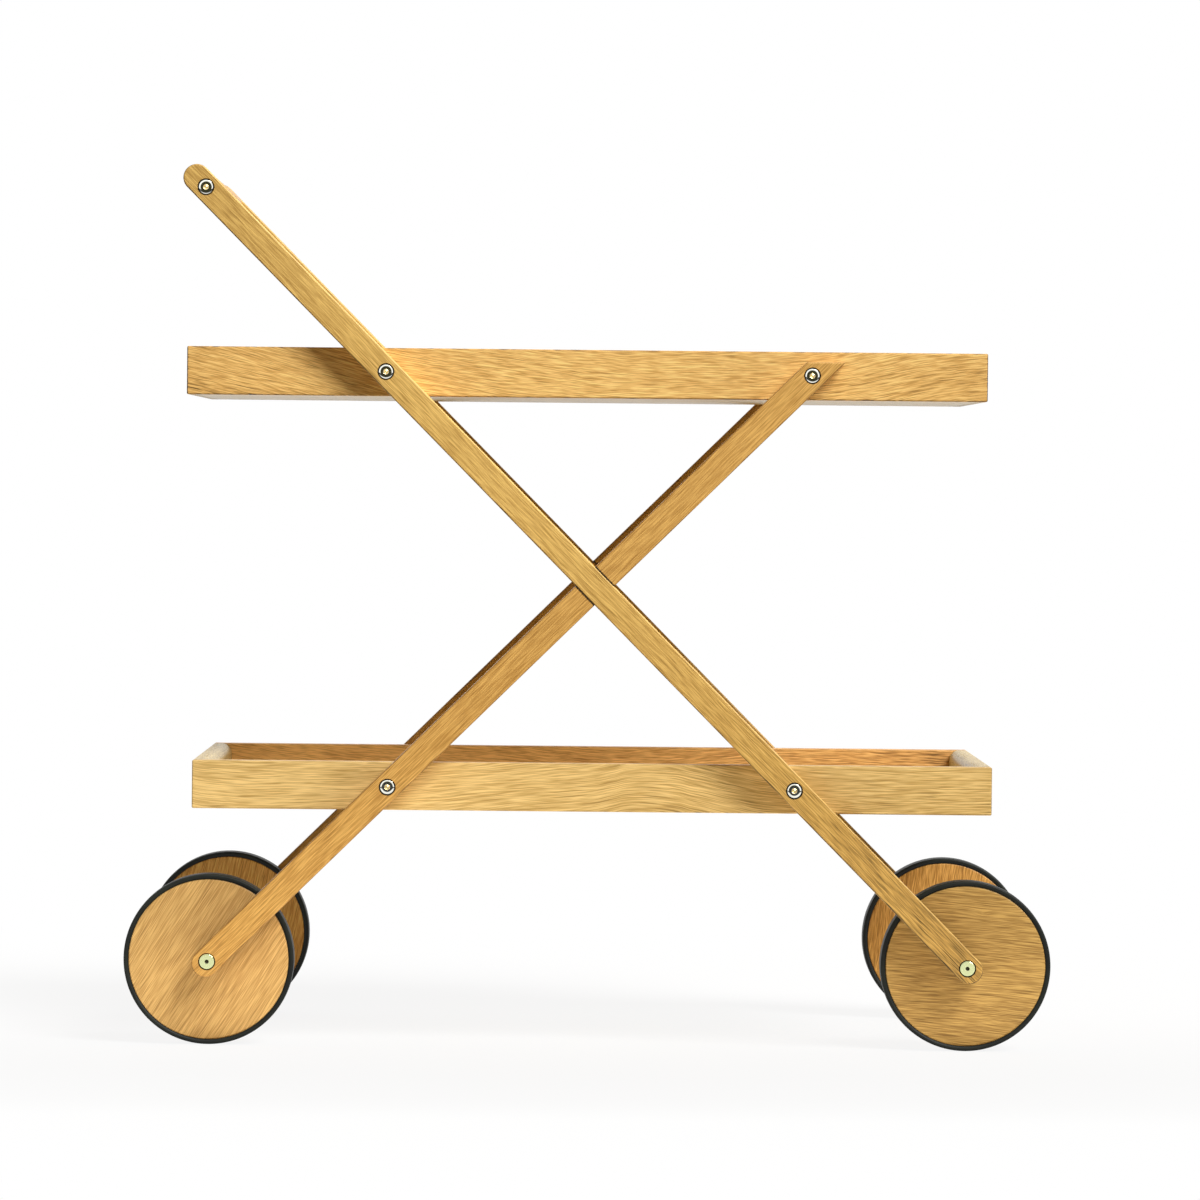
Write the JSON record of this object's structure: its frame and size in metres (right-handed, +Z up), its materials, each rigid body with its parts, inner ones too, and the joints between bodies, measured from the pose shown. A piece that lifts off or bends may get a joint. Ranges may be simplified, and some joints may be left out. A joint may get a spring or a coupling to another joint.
{
  "type": "serving trolley",
  "caption": "Oak serving trolley with two open trays between crossed side frames, a round handle at one end and wooden disc wheels with rubber tyres on steel axles.",
  "frame": {"origin": "on the floor, under the middle of the four wheels", "axes": "+X from the handle end to the other end, +Y from the near side to the far side, +Z up"},
  "size_m": [0.8965, 0.467, 0.8482],
  "materials": {
    "bar_oak": "oiled oak, straight grain",
    "tray_oak": "oiled oak, wavy grain",
    "bottom_board": "pale veneered plywood, oiled",
    "wheel_oak": "oiled oak, slab grain",
    "dowel_beech": "plain beech",
    "tyre_rubber": "matte dark grey rubber",
    "bush_plastic": "natural nylon",
    "fastener_steel": "bright zinc-nickel plated steel",
    "axle_steel": "drawn steel rod"
  },
  "bodies": {
    "frame": {"long_bar_near": "bar_oak", "short_bar_near": "bar_oak", "long_bar_far": "bar_oak", "short_bar_far": "bar_oak", "handle_rail": "bar_oak", "upper_tray_near_board": "tray_oak", "upper_tray_far_board": "tray_oak", "upper_tray_left_end": "tray_oak", "upper_tray_right_end": "tray_oak", "upper_tray_bottom": "bottom_board", "upper_tray_bolts": "fastener_steel", "upper_tray_inserts": "fastener_steel", "upper_tray_dowels": "dowel_beech", "upper_tray_bottom_screws": "fastener_steel", "lower_tray_near_board": "tray_oak", "lower_tray_far_board": "tray_oak", "lower_tray_left_end": "tray_oak", "lower_tray_right_end": "tray_oak", "lower_tray_bottom": "bottom_board", "lower_tray_bolts": "fastener_steel", "lower_tray_inserts": "fastener_steel", "lower_tray_dowels": "dowel_beech", "lower_tray_bottom_screws": "fastener_steel", "handle_bolts": "fastener_steel", "handle_inserts": "fastener_steel", "axle_left": "axle_steel", "axle_right": "axle_steel", "axle_cap_bolts": "fastener_steel", "axle_spacers": "fastener_steel", "axle_washers": "fastener_steel", "axle_retaining_rings": "fastener_steel"},
    "near_left_wheel": {"wheel_near_left": "wheel_oak", "tyre_near_left": "tyre_rubber", "bush_near_left": "bush_plastic"},
    "near_right_wheel": {"wheel_near_right": "wheel_oak", "tyre_near_right": "tyre_rubber", "bush_near_right": "bush_plastic"},
    "far_left_wheel": {"wheel_far_left": "wheel_oak", "tyre_far_left": "tyre_rubber", "bush_far_left": "bush_plastic"},
    "far_right_wheel": {"wheel_far_right": "wheel_oak", "tyre_far_right": "tyre_rubber", "bush_far_right": "bush_plastic"}
  },
  "joints": [
    {"name": "near_left_wheel_turn", "type": "hinge", "parent": "frame", "child": "near_left_wheel", "pos_m": [-0.36579, -0.187, 0.0825], "axis": [0, 1, 0], "continuous": true},
    {"name": "near_right_wheel_turn", "type": "hinge", "parent": "frame", "child": "near_right_wheel", "pos_m": [0.36579, -0.187, 0.0825], "axis": [0, 1, 0], "continuous": true},
    {"name": "far_left_wheel_turn", "type": "hinge", "parent": "frame", "child": "far_left_wheel", "pos_m": [-0.36579, 0.187, 0.0825], "axis": [0, 1, 0], "continuous": true},
    {"name": "far_right_wheel_turn", "type": "hinge", "parent": "frame", "child": "far_right_wheel", "pos_m": [0.36579, 0.187, 0.0825], "axis": [0, 1, 0], "continuous": true}
  ]
}
